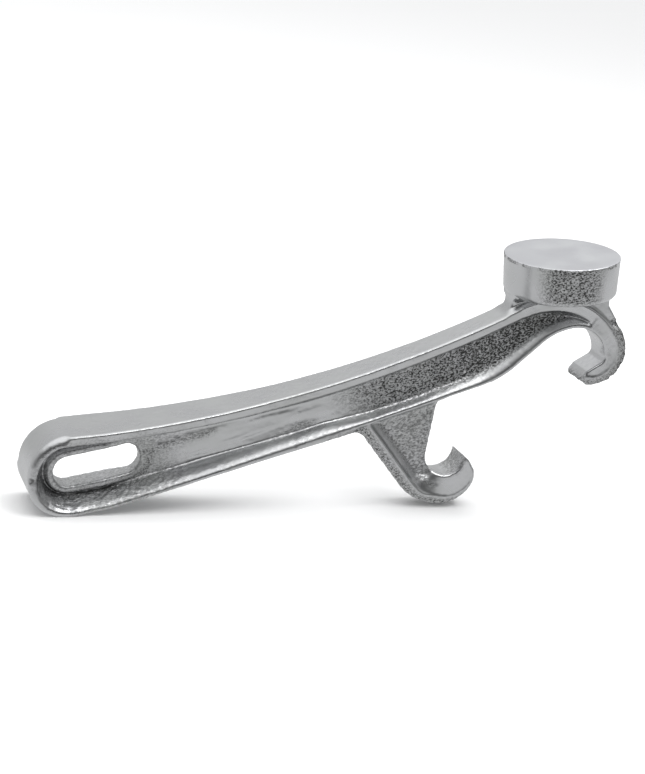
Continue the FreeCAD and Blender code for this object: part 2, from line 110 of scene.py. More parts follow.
MOUTH = (NOSE[0], NOSE[1] + NOSE_RADIUS - MOUTH_RADIUS)
SEAT, SEAT_RADIUS = (182.5, -14.7), 9.1
SLOT, SLOT_TILT, SLOT_HALF_RUN, SLOT_RADIUS = (13.8, 0.7), 6.0, 12.9, 7.1
DISC_X, DISC_FACE, DISC_RADIUS, DISC_THICKNESS = 239.9, 80.2, 27.5, 18.5
DISC_UNDER = DISC_FACE - DISC_THICKNESS

# Corners of the outline, in the order in which it is walked: the neck and hammer side first,
# then the end hook, the lower flange, the side hook and the handle's lower corner.
NECK_FILLET, NECK_LEFT, NECK_RIGHT, NECK_TOP = 9.0, 213.5, 265.4, 64.0
neck_reach = TOP_RADIUS - NECK_FILLET
neck_centre_x = NECK_LEFT - NECK_FILLET
neck_centre = (neck_centre_x, TOP[1] - sqrt(neck_reach**2 - (neck_centre_x - TOP[0])**2))
neck_foot = bearing(TOP, neck_centre)
KNEE_HEIGHT = 53.5
knee = (NECK_RIGHT, KNEE_HEIGHT)
knee_gap = hypot(knee[0] - HOOK[0], knee[1] - HOOK[1])
hook_touch = bearing(HOOK, knee) - degrees(acos(HOOK_RADIUS / knee_gap))
HOOK_BACK = 255.0 - 360
hook_tip, hook_heel = (254.2, 22.3), (250.8, 18.0)
FLOOR, MOUTH_FILLET = 26.0, 3.5
mouth_corner = ray_meets_circle(along(hook_tip, FLOOR + 90, MOUTH_FILLET), FLOOR,
                                MOUTH, MOUTH_RADIUS - MOUTH_FILLET)
mouth_end = bearing(MOUTH, mouth_corner)
EDGE, GUSSET_FILLET = 80.0, 7.5
SEAT_START = 166.0
gusset_foot = along(SEAT, SEAT_START, SEAT_RADIUS)
gusset_centre = ray_meets_circle(along(gusset_foot, EDGE - 90, GUSSET_FILLET), EDGE,
                                 LONG, LONG_RADIUS + GUSSET_FILLET, far=False)
side_tip = (194.8, -17.6)
RIM_START_X = 137.0
rim_start = ray_meets_circle((RIM_START_X, LONG[1]), -90, LONG, LONG_RADIUS)
HEEL_TURN, ROLL_RADIUS, HEEL_END = 262.0, 28.0, 8.0
ROLL = along(HEEL, HEEL_TURN + 180, ROLL_RADIUS - HEEL_RADIUS)
roll_gap = hypot(ROLL[0] - rim_start[0], ROLL[1] - rim_start[1])
RIM = bearing(rim_start, ROLL) - degrees(asin(ROLL_RADIUS / roll_gap))
RIM_FILLET, GRIP_SLOPE = 14.0, SWEEP_STOP + 90
grip_side = along(sweep_end, SWEEP_STOP, RIM_FILLET)
rim_side = along(rim_start, RIM - 90, RIM_FILLET)
turn = radians(GRIP_SLOPE - RIM)
gap_x, gap_z = rim_side[0] - grip_side[0], rim_side[1] - grip_side[1]
rim_centre = along(grip_side, GRIP_SLOPE, (gap_z * cos(radians(RIM)) - gap_x * sin(radians(RIM)))
                   / sin(turn))


def line(start, end, edge_round):
    return {"start": start, "end": end, "round": edge_round}


def arc(centre, radius, first, last, edge_round):
    return {"centre": centre, "radius": radius, "from": first, "to": last, "round": edge_round,
            "start": along(centre, first, radius), "end": along(centre, last, radius)}


FLANGE_ROUND, END_ROUND, LOWER_ROUND, HOOK_ROUND = 1.1, 3.6, 1.3, 1.8
MOUTH_ROUND, SEAT_ROUND, GUSSET_ROUND, TIP_ROUND = 0.9, 1.1, 1.0, 1.2
SLOT_ROUND, ROUND_BLEND = 1.1, 0.8
DOWN, CORNER_RADIUS = 270 - degrees(LEAN), 16.6
CORNER = along(along(END, DOWN, END_RADIUS - CORNER_RADIUS), DOWN - 90,
               END_RADIUS - CORNER_RADIUS)
OUTLINE = [
    line((0.0, END_RADIUS), (TOP[0], END_RADIUS), FLANGE_ROUND),
    arc(TOP, TOP_RADIUS, -90, neck_foot, FLANGE_ROUND),
    arc(neck_centre, NECK_FILLET, neck_foot, 0, FLANGE_ROUND),
    line((NECK_LEFT, neck_centre[1]), (NECK_LEFT, NECK_TOP), FLANGE_ROUND),
    line((NECK_LEFT, NECK_TOP), (NECK_RIGHT, NECK_TOP), TIP_ROUND),
    line((NECK_RIGHT, NECK_TOP), knee, FLANGE_ROUND),
    line(knee, along(HOOK, hook_touch, HOOK_RADIUS), FLANGE_ROUND),
    arc(HOOK, HOOK_RADIUS, hook_touch, HOOK_BACK, HOOK_ROUND),
    line(along(HOOK, HOOK_BACK, HOOK_RADIUS), hook_heel, HOOK_ROUND),
    line(hook_heel, hook_tip, TIP_ROUND),
    line(hook_tip, along(mouth_corner, FLOOR - 90, MOUTH_FILLET), MOUTH_ROUND),
    arc(mouth_corner, MOUTH_FILLET, FLOOR - 90, mouth_end, MOUTH_ROUND),
    arc(MOUTH, MOUTH_RADIUS, mouth_end, 90, MOUTH_ROUND),
    arc(NOSE, NOSE_RADIUS, 90, RISE + 180, LOWER_ROUND),
    line(rise_end, rise_start, LOWER_ROUND),
    arc(BELLY, BELLY_RADIUS, RISE, BELLY_START, LOWER_ROUND),
    arc(LONG, LONG_RADIUS, BELLY_START, bearing(LONG, gusset_centre), LOWER_ROUND),
    arc(gusset_centre, GUSSET_FILLET, bearing(gusset_centre, LONG), EDGE + 90, LOWER_ROUND),
    line(along(gusset_centre, EDGE + 90, GUSSET_FILLET), gusset_foot, GUSSET_ROUND),
    arc(SEAT, SEAT_RADIUS, SEAT_START, 360.0, SEAT_ROUND),
    line(along(SEAT, 0, SEAT_RADIUS), side_tip, TIP_ROUND),
    line(side_tip, along(HEEL, HEEL_END, HEEL_RADIUS), HOOK_ROUND),
    arc(HEEL, HEEL_RADIUS, HEEL_END, HEEL_TURN - 360, HOOK_ROUND),
    arc(ROLL, ROLL_RADIUS, HEEL_TURN, RIM + 270, HOOK_ROUND),
    line(along(ROLL, RIM - 90, ROLL_RADIUS), along(rim_centre, RIM + 90, RIM_FILLET),
         HOOK_ROUND),
    arc(rim_centre, RIM_FILLET, RIM + 90, GRIP_SLOPE + 90, LOWER_ROUND),
    line(along(rim_centre, GRIP_SLOPE + 90, RIM_FILLET), sweep_end, LOWER_ROUND),
    arc(SWEEP, SWEEP_RADIUS, SWEEP_STOP, -90, LOWER_ROUND),
    arc(END, END_RADIUS, 270, DOWN, LOWER_ROUND),
    line(along(END, DOWN, END_RADIUS), along(CORNER, DOWN, CORNER_RADIUS), LOWER_ROUND),
    arc(CORNER, CORNER_RADIUS, DOWN, DOWN - 90, LOWER_ROUND),
    line(along(CORNER, DOWN - 90, CORNER_RADIUS), along(END, DOWN - 90, END_RADIUS), END_ROUND),
    arc(END, END_RADIUS, DOWN - 90, 90, END_ROUND),
]

# ------------------------------------------------------------------------ the grid and its maps

STEP = 0.5
LOW = np.array([-22.0, -16.5, -42.0])
HIGH = np.array([280.0, 16.5, 68.0])
COUNT = np.round((HIGH - LOW) / STEP).astype(int) + 1
AXES = [LOW[k] + STEP * np.arange(COUNT[k]) for k in range(3)]
X, Z = np.meshgrid(AXES[0], AXES[2], indexing="ij")
FAR_AWAY = 1e3


def distance_to(edge):
    """The distance of each place from a straight edge or an arc."""
    if "centre" not in edge:
        (ax, az), (bx, bz) = edge["start"], edge["end"]
        dx, dz = bx - ax, bz - az
        t = np.clip(((X - ax) * dx + (Z - az) * dz) / (dx * dx + dz * dz), 0, 1)
        return np.hypot(X - ax - t * dx, Z - az - t * dz)
    (cx, cz), low = edge["centre"], min(edge["from"], edge["to"])
    turn = np.degrees(np.arctan2(Z - cz, X - cx))
    beside = np.mod(turn - low, 360) <= abs(edge["to"] - edge["from"])
    ends = [np.hypot(X - end[0], Z - end[1]) for end in (edge["start"], edge["end"])]
    return np.where(beside, np.abs(np.hypot(X - cx, Z - cz) - edge["radius"]),
                    np.minimum(*ends))


def corners_of(edge, spacing=0.3):
    """The start of an edge and, along an arc, points at a close spacing."""
    if "centre" not in edge:
        return [edge["start"]]
    sweep = edge["to"] - edge["from"]
    parts = max(2, int(abs(radians(sweep)) * edge["radius"] / spacing))
    return [along(edge["centre"], edge["from"] + sweep * k / parts, edge["radius"])
            for k in range(parts)]


def inside_outline():
    """Where a line going on along x crosses the outline an odd number of times."""
    corners = [corner for edge in OUTLINE for corner in corners_of(edge)]
    inside = np.zeros(X.shape, bool)
    for (ax, az), (bx, bz) in zip(corners, corners[1:] + corners[:1]):
        rows = np.nonzero((AXES[2] > min(az, bz)) & (AXES[2] <= max(az, bz)))[0]
        for row in rows:
            crossing = ax + (AXES[2][row] - az) / (bz - az) * (bx - ax)
            inside[AXES[0] > crossing, row] ^= True
    return inside


def reach_from(centre):
    return np.hypot(X - centre[0], Z - centre[1])


def turn_about(centre):
    """The angle in degrees at which a centre sees each place."""
    return np.degrees(np.arctan2(Z - centre[1], X - centre[0]))


def ahead_of(point, angle):
    """How far each place is past a point, in the direction of an angle."""
    return (X - point[0]) * cos(radians(angle)) + (Z - point[1]) * sin(radians(angle))


def left_of(point, angle):
    """How far each place is to the left of a line through a point at an angle."""
    return (X - point[0]) * -sin(radians(angle)) + (Z - point[1]) * cos(radians(angle))


def smooth(t):
    t = np.clip(t, 0, 1)
    return t * t * (3 - 2 * t)


def fade(value, start, end):
    """0 before start, 1 after end, with a soft change between."""
    return smooth((value - start) / (end - start))


def fall(value, start, end):
    """1 before start, 0 after end, with a soft change between."""
    return fade(-value, -end, -start)


def near(value, middle, reach):
    """1 at the middle value, 0 from a reach away on either side."""
    return 1 - np.clip(np.abs(value - middle) / reach, 0, 1)


def mix(first, second, share):
    """From first to second, by a share from 0 to 1."""
    return first + (second - first) * share


def hollow(t):
    """1 to 0 along a hollow quarter round, steep at the start and level at the end."""
    return 1 - np.sqrt(np.maximum(1 - (1 - np.clip(t, 0, 1))**2, 0))


def blur(grid, sigma):
    """Gaussian blur of a grid, sigma in millimetres."""
    reach = max(1, int(3 * sigma / STEP))
    weights = np.exp(-0.5 * (np.arange(-reach, reach + 1) * STEP / sigma)**2)
    weights /= weights.sum()
    for axis in range(grid.ndim):
        padding = [(reach, reach) if k == axis else (0, 0) for k in range(grid.ndim)]
        padded = np.pad(grid, padding, mode="edge")
        grid = sum(weight * np.take(padded, range(k, k + grid.shape[axis]), axis=axis)
                   for k, weight in enumerate(weights))
    return grid


slot_run = np.clip(ahead_of(SLOT, SLOT_TILT), -SLOT_HALF_RUN, SLOT_HALF_RUN)
beyond_slot = np.hypot(X - SLOT[0] - slot_run * cos(radians(SLOT_TILT)),
                       Z - SLOT[1] - slot_run * sin(radians(SLOT_TILT))) - SLOT_RADIUS


def outline_maps():
    """The distance from the outline, below zero inside it, and the round of the nearest edge."""
    gap, edge_round = np.full(X.shape, FAR_AWAY), np.zeros(X.shape)
    for edge in OUTLINE:
        distance = distance_to(edge)
        closer = distance < gap
        gap[closer] = distance[closer]
        edge_round[closer] = edge["round"]
    gap = np.where(inside_outline(), -gap, gap)
    edge_round = np.where(-beyond_slot > gap, SLOT_ROUND, edge_round)
    return np.maximum(gap, -beyond_slot), blur(edge_round, ROUND_BLEND)


def above_lower_line():
    """The height above the lower edge line, on from the handle's end into the hook's mouth."""
    rounds = [(SWEEP, SWEEP_RADIUS, SWEEP_STOP, -90, 1),
              (LONG, LONG_RADIUS, SWEEP_STOP, BELLY_START, 1),
              (BELLY, BELLY_RADIUS, BELLY_START, RISE, 1),
              (NOSE, NOSE_RADIUS, RISE + 180, 90, -1),
              (MOUTH, MOUTH_RADIUS, 90, mouth_end, -1)]
    above, nearest = np.full(X.shape, FAR_AWAY), np.full(X.shape, FAR_AWAY)
    for centre, radius, first, last, side in rounds:
        distance = distance_to(arc(centre, radius, first, last, 0))
        above = np.where(distance < nearest, side * (radius - reach_from(centre)), above)
        nearest = np.minimum(distance, nearest)
    closer = distance_to(line(rise_start, rise_end, 0)) < nearest
    above = np.where(closer, ahead_of(rise_start, RISE + 180), above)
    return np.where(X < 0, around_end, above)


depth, rounding = outline_maps()
around_end = END_RADIUS - reach_from(END)
below_top = np.where(X < TOP[0], END_RADIUS - Z, reach_from(TOP) - TOP_RADIUS)
below_top = np.where(X < 0, around_end, below_top)
above_low = above_lower_line()

# ------------------------------------------------------------------------------- the handle

WEB_HALF, PANEL_HALF, JAW_HALF = 3.2, 3.0, 7.8
UPPER_BAND, UPPER_FOOT, LOWER_BAND = 4.7, 8.4, 2.0
BAND_DRAFT, WALL_POWER, WALL_STRAIGHT = 0.05, 1.6, 0.92
COLLAR_RISE, COLLAR_WALL, COLLAR_FALL = 2.6, 3.0, 1.0
CORNER_SWELL = 0.9

# The flanges' half width along the tool, with a swell at the lower corner of the handle's end,
# and where the lower flange's inner wall meets the web.
half_width = np.interp(X, [15.0, 60.0, 95.0, 160.0, 205.0], [13.6, 11.6, 9.8, 8.0, 7.6])
half_width += CORNER_SWELL * fall(Z, -8.0, 4.0) * fall(X, 0.0, 10.0)
foot_low = np.interp(X, [0, 60, 120, 145, 165, 185, 210, 232, 250],
                     [7.0, 6.5, 6.0, 4.0, 4.0, 5.2, 6.5, 5.6, 4.6])


def flange(into, band, foot, straight):
    """The half height of a flange at a depth into it: its band, then its inner wall, which is
    straight or hollow by share."""
    t = np.clip((into - band) / (foot - band), 0, 1)
    slope = straight * (1 - t**WALL_POWER) + (1 - straight) * hollow(t)
    return WEB_HALF + (half_width - BAND_DRAFT * np.clip(into, 0, band) - WEB_HALF) * slope


def handle_flanges():
    """The upper and the lower flange. One turns into the other around the handle's end."""
    at_end = X < 0
    to_lower = fade(np.mod(turn_about(END), 360), 150.0, 235.0)
    band_end = mix(UPPER_BAND, LOWER_BAND, to_lower)
    foot_end = mix(UPPER_FOOT, foot_low, to_lower)
    return [flange(into, np.where(at_end, band_end, band), np.where(at_end, foot_end, foot),
                   np.where(at_end, to_lower, straight) * WALL_STRAIGHT)
            for into, band, foot, straight in ((below_top, UPPER_BAND, UPPER_FOOT, 0),
                                               (above_low, LOWER_BAND, foot_low, 1))]


def slot_collar():
    """The raised collar around the hanging slot, which sinks into the web towards the head."""
    top = WEB_HALF + COLLAR_RISE * fall(X, 16.0, 38.0)
    return mix(WEB_HALF, top, 1 - smooth((beyond_slot - COLLAR_WALL) / COLLAR_FALL))


# --------------------------------------------------------------------- the head and end hook

RIDGE, RIDGE_RADIUS = (257.5, 31.2), 13.05
CREST_BAND, CREST_FOOT, CREST_STRAIGHT, CREST_SWELL = 5.0, 8.0, 0.2, 0.3
NECK_HALF, NECK_SLOPE, NECK_FLARE = 4.5, 3.5, 3.0
BACK_HALF, BACK_SLOPE, BACK_STEP = 3.2, 0.84, 0.4
BEAD_HEIGHT, BEAD_REACH = 0.4, 0.7
HEAD_LOW, JAW_START_X, POCKET_WALL = 10.0, 240.0, 4.0

# The crest flange rolls over into the back of the end hook, along the ridge line.
head = (turn_about(TOP) > MEET) & (Z > HEAD_LOW)
over_crest = left_of(CREST, bearing(CREST, RIDGE)) > 0
in_ridge = np.where(over_crest, CREST_RADIUS - reach_from(CREST), RIDGE_RADIUS - reach_from(RIDGE))
in_ridge = np.where(head, in_ridge, below_top)
to_hook = fall(Z, 40.0, 50.0)
pocket_end = circle_meets_circle(CREST, CREST_RADIUS - CREST_BAND,
                                 MOUTH, MOUTH_RADIUS + POCKET_WALL)
pocket_turn = bearing(CREST, pocket_end)


def bead(value, middle, height_of_bead):
    """The raised seam line along a ridge."""
    return height_of_bead * np.exp(-((value - middle) / BEAD_REACH)**2)


def outside_ridge():
    """The neck's plate under the hammer, and the sloping back of the end hook."""
    steep = mix(NECK_SLOPE, BACK_SLOPE, to_hook)
    plate = mix(NECK_HALF, BACK_HALF, to_hook)
    under_disc = (Z - (DISC_UNDER - NECK_FLARE)) / NECK_FLARE
    plate = plate + NECK_FLARE * hollow(1 - under_disc) * (under_disc > 0)
    ridge_half = np.where(head, JAW_HALF + CREST_SWELL * (1 - to_hook), half_width)
    return np.maximum(ridge_half - steep * np.maximum(-in_ridge - BACK_STEP, 0), plate)


def end_jaw_height():
    """The solid jaw of the end hook, past the end of the web's pocket."""
    past_pocket = -left_of(CREST, pocket_turn)
    solid = mix(WEB_HALF, JAW_HALF, fade(past_pocket, -1.5, 2.0))
    return np.where((X > JAW_START_X) & (Z > HEAD_LOW), solid, 0)


# --------------------------------------------------------------------------- the side hook

SIDE_START, SIDE_END = 120.0, 215.0
PANEL_EDGE, RIM_STRAIGHT, JAW_STEP, JUNCTION_STEP, HANG_REACH = 0.8, 0.6, 0.2, 0.3, 4.2

# The depth into the rim from its outer edge, and the depth at which its ridge line runs.
in_rim = np.where(left_of(HEEL, HEEL_TURN) > 0, HEEL_RADIUS - reach_from(HEEL),
                  ROLL_RADIUS - reach_from(ROLL))
in_rim = np.where(ahead_of(ROLL, RIM) < 0, left_of(rim_start, RIM), in_rim)
heel_turn = np.mod(turn_about(HEEL), 360)
ridge_in = np.interp(np.where(heel_turn < 60, heel_turn + 360, heel_turn),
                     [205, 230, 270, 315, 352], [4.0, 5.4, 5.4, 4.0, 1.2])
seat_turn = 60 + np.mod(turn_about(SEAT) - 60, 360)


def side_hook_height():
    """The rim, the gusset panel and the jaw, and how they run into the lower flange."""
    spread = 5.0 + 9.0 * fade(seat_turn, 205, 250)
    inner = np.clip((in_rim - ridge_in - PANEL_EDGE) / spread, 0, 1)
    inner = RIM_STRAIGHT * inner + (1 - RIM_STRAIGHT) * (1 - hollow(inner))
    rim = mix(JAW_HALF, PANEL_HALF, inner)
    rim = mix(rim, JAW_HALF - JAW_STEP, fade(seat_turn, 205, 275))
    rim = np.where(in_rim < ridge_in, JAW_HALF - BACK_SLOPE * (ridge_in - in_rim), rim)
    rim = np.maximum(rim, PANEL_HALF) + bead(in_rim - ridge_in, 0.4, BEAD_HEIGHT)
    hang = mix(PANEL_HALF, half_width, hollow(1 - np.clip(1 + above_low / HANG_REACH, 0, 1)))
    both = np.maximum(rim, hang)
    return mix(both, np.maximum(half_width - JUNCTION_STEP, both), 1 - fade(X, 129.0, 141.0))


# ------------------------------------------------------------------------- the whole height map

random = np.random.default_rng(11)
beside_hook = (above_low < 0) & (X < SIDE_END) & (X > SIDE_START)


def noise(shape, sigma):
    """Smooth seeded noise with unit spread; sigma is in millimetres."""
    grid = blur(random.standard_normal(shape).astype(np.float32), sigma)
    return grid / grid.std()


def streaks(length, width):
    """Seeded noise drawn out along the handle."""
    grid = random.standard_normal(X.shape)
    frequency_x = np.fft.fftfreq(X.shape[0], STEP)[:, None]
    frequency_z = np.fft.fftfreq(X.shape[1], STEP)[None, :]
    lean_over = frequency_x + STREAK_SLOPE * frequency_z
    keep = np.exp(-2 * np.pi**2 * ((length * lean_over)**2 + (width * frequency_z)**2))
    grid = np.fft.ifft2(np.fft.fft2(grid) * keep).real
    return grid / grid.std()


def on_web(half_height):
    """1 down at the web and the panels, 0 up on the flanges."""
    return fall(half_height, 3.6, 4.6)


def height_map():
    """The half height of the casting at each place of the tool's plane."""
    upper, lower = handle_flanges()
    value = np.maximum(np.maximum(upper, lower), np.maximum(slot_collar(), WEB_HALF))
    value = np.where(in_ridge < 0, outside_ridge(), value)
    crest = flange(np.maximum(in_ridge, 0), CREST_BAND, CREST_FOOT, CREST_STRAIGHT)
    value = np.where(head & (in_ridge >= 0),
                     np.maximum(np.maximum(crest, lower), end_jaw_height()), value)
    value = np.where(beside_hook, side_hook_height(), value)
    value = value + np.where(head, bead(in_ridge, 0.5, BEAD_HEIGHT * to_hook), 0)
    value = blur(value, 0.45)
    streak_height = 0.025 + 0.11 * fade(X, 40, 65) * fall(X, 100, 125)
    return value + streak_height * drawn * on_web(value) * (depth < -1)


STREAK_SLOPE = 0.19
drawn = streaks(7.0, 0.9)
height = height_map()
slope_x, slope_z = np.gradient(height, STEP)
steepness = np.sqrt(1 + slope_x**2 + slope_z**2)

# ------------------------------------------------------------------ roughness of the cast skin and its painted pit shade


def handle_roughness():
    """Pits on the web near the head, in the groove below the slot, around the handle's end, along
    the deepest streaks and along the edges of the flanges. The material paints the pits dark as
    painted shade."""
    to_head = fade(X - 0.6 * (below_top - 12), 118.0, 150.0)
    # Stronger towards the head, where the web lies under the crest: more painted shade there.
    value = on_web(height) * to_head * (1 + 0.6 * fade(X, 165.0, 205.0))
    below_slot = -left_of(SLOT, SLOT_TILT)
    value = np.maximum(value, 1.3 * near(beyond_slot, 4.3, 1.7) * fade(below_slot, -4, 2))
    value = np.maximum(value, 0.4 * fall(X, 40, 62) * fade(below_top, 2.0, 3.0))
    value = np.maximum(value, 0.75 * on_web(height) * fade(drawn, 1.3, 1.9))
    # Pits along the flanges' edges, which the material paints as thin dark lines of shade.
    edges = np.maximum(near(below_top, UPPER_BAND, 0.9), near(above_low, LOWER_BAND, 0.9))
    edges = np.maximum(edges, near(below_top, 1.4, 0.7))
    return np.maximum(value, 0.6 * edges * fade(noise(X.shape, 2.0), -0.2, 0.9))


def side_hook_roughness():
    """Pits on the gusset panel, along its edge by the rim, on the hook's back and in its seat,
    which the material paints dark as painted shade.
    """
    panel_line = near(in_rim - ridge_in, 6.2, 1.8) * fall(seat_turn, 235, 262)
    value = np.maximum(0.6 * on_web(height), panel_line)
    value = np.maximum(value, fade(ridge_in - in_rim, 0.3, 1.2))
    in_seat = fade(seat_turn, 262, 300) * fall(reach_from(SEAT), 9.6, 10.4)
    return np.maximum(value, 0.8 * in_seat)


rough = np.where(beside_hook, side_hook_roughness(), handle_roughness())
# The neck's plate under the hammer and the hook's back are fully pitted, and so painted dark as
# shade.
rough = np.where(head & (in_ridge < 0), np.maximum(rough, to_hook), rough)
rough = blur(rough, 1.0)

# --------------------------------------------------------------------- the field and its surface

FINE_GRAIN, FINE_GRAIN_ROUGH, WIDE_WAVES = 0.015, 0.10, 0.06


def field():
    """Below zero inside the casting, about a distance in millimetres near its surface."""
    y = AXES[1]
    side_wall = np.broadcast_to(depth[:, None, :], COUNT).astype(np.float32)
    face = ((np.abs(y)[None, :, None] - height[:, None, :]) / steepness[:, None, :])
    face = face.astype(np.float32)
    r = rounding[:, None, :].astype(np.float32)
    value = np.minimum(np.maximum(side_wall, face), -r)
    value += np.hypot(np.maximum(side_wall + r, 0), np.maximum(face + r, 0))
    fine = noise(COUNT, 0.55)
    value -= fine * (FINE_GRAIN + FINE_GRAIN_ROUGH * rough[:, None, :]).astype(np.float32)
    wide = noise(X.shape, 5.0)[:, None, :] * WIDE_WAVES
    value -= wide.astype(np.float32)
    return value


def sample(grid, points):
    """Values of a grid at points in millimetres, by linear interpolation."""
    place = (points - LOW) / STEP
    place = np.clip(place, 0, COUNT - 1.001)
    cell = place.astype(int)
    part = place - cell
    total = 0
    for dx in (0, 1):
        for dy in (0, 1):
            for dz in (0, 1):
                weight = (np.where(dx, part[:, 0], 1 - part[:, 0])
                          * np.where(dy, part[:, 1], 1 - part[:, 1])
                          * np.where(dz, part[:, 2], 1 - part[:, 2]))
                total = total + weight * grid[cell[:, 0] + dx, cell[:, 1] + dy, cell[:, 2] + dz]
    return total


def sample_map(grid, points):
    """Values of a map of the tool's plane, at points."""
    return sample(np.broadcast_to(grid[:, None, :], COUNT), points)


def gradient(grid, points, reach=0.6):
    """Slopes of a grid at points, over a reach in grid steps."""
    result = np.zeros_like(points)
    for axis in range(3):
        offset = np.zeros(3)
        offset[axis] = reach * STEP
        result[:, axis] = sample(grid, points + offset) - sample(grid, points - offset)
    return result / (2 * reach * STEP)


def surface_net(grid):
    """Vertices in millimetres and four-sided faces of the zero level of a grid."""
    inside = grid < 0
    nx, ny, nz = grid.shape
    held = np.zeros((nx - 1, ny - 1, nz - 1), np.int8)
    for dx in (0, 1):
        for dy in (0, 1):
            for dz in (0, 1):
                held += inside[dx:nx - 1 + dx, dy:ny - 1 + dy, dz:nz - 1 + dz]
    active = (held > 0) & (held < 8)
    cells = np.argwhere(active)
    number = np.full(active.shape, -1, np.int64)
    number[active] = np.arange(len(cells))
    total, count = np.zeros((len(cells), 3)), np.zeros(len(cells))
    for axis in range(3):
        unit = np.eye(3, dtype=int)[axis]
        for first in (0, 1):
            for second in (0, 1):
                offset = np.zeros(3, int)
                offset[(axis + 1) % 3], offset[(axis + 2) % 3] = first, second
                a = cells + offset
                b = a + unit
                value_a, value_b = grid[tuple(a.T)], grid[tuple(b.T)]
                crosses = (value_a < 0) != (value_b < 0)
                t = np.where(crosses, value_a / np.where(crosses, value_a - value_b, 1), 0)
                total += np.where(crosses[:, None], a + t[:, None] * unit, 0)
                count += crosses
    points = LOW + STEP * total / count[:, None]
    faces = []
    for axis in range(3):
        unit = np.eye(3, dtype=int)[axis]
        ahead = [slice(None)] * 3
        behind = [slice(None)] * 3
        ahead[axis], behind[axis] = slice(1, None), slice(None, -1)
        low, high = inside[tuple(behind)], inside[tuple(ahead)]
        step_b, step_c = (np.eye(3, dtype=int)[(axis + k) % 3] for k in (1, 2))
        for mask, flip in ((low & ~high, False), (~low & high, True)):
            start = np.argwhere(mask)
            ring = [start - step_b - step_c, start - step_c, start, start - step_b]
            quad = np.stack([number[tuple(cell.T)] for cell in ring], axis=1)
            faces.append(quad[:, ::-1] if flip else quad)
    return points, np.concatenate(faces)


def onto_surface(points, rounds=2, largest_move=0.3, least_slope=0.05):
    """Points moved down or up the slope of the field, until they lie on its zero level."""
    for _ in range(rounds):
        slope = gradient(casting_field, points)
        value = sample(casting_field, points)
        move = value / np.maximum((slope**2).sum(axis=1), least_slope)
        points = points - np.clip(move, -largest_move, largest_move)[:, None] * slope
    return points


casting_field = field()
net_points, net_faces = surface_net(casting_field)
net_points = onto_surface(net_points)

# --------------------------------------------------------------------------------- materials

SPECKS_PER_METRE, PATCHES_PER_METRE = 1500.0, 60.0
SPECK_STRETCH, HANDLE_SLOPE = 1.6, radians(18.0)
PIT_RIM, PIT_FLOOR, PIT_DEPTH = 0.56, 0.42, 0.4 * MM
DULL_TINT = (0.93, 0.95, 0.90)


def node(tree, kind, **settings):
    """A new node. in_ before a name or a number sets that input; anything else is a property."""
    item = tree.nodes.new(kind)
    for key, value in settings.items():
        if key.startswith("in_"):
            slot = key[3:]
            socket = int(slot) if slot.isdigit() else slot.replace("_", " ")
            item.inputs[socket].default_value = value
        else:
            setattr(item, key, value)
    return item


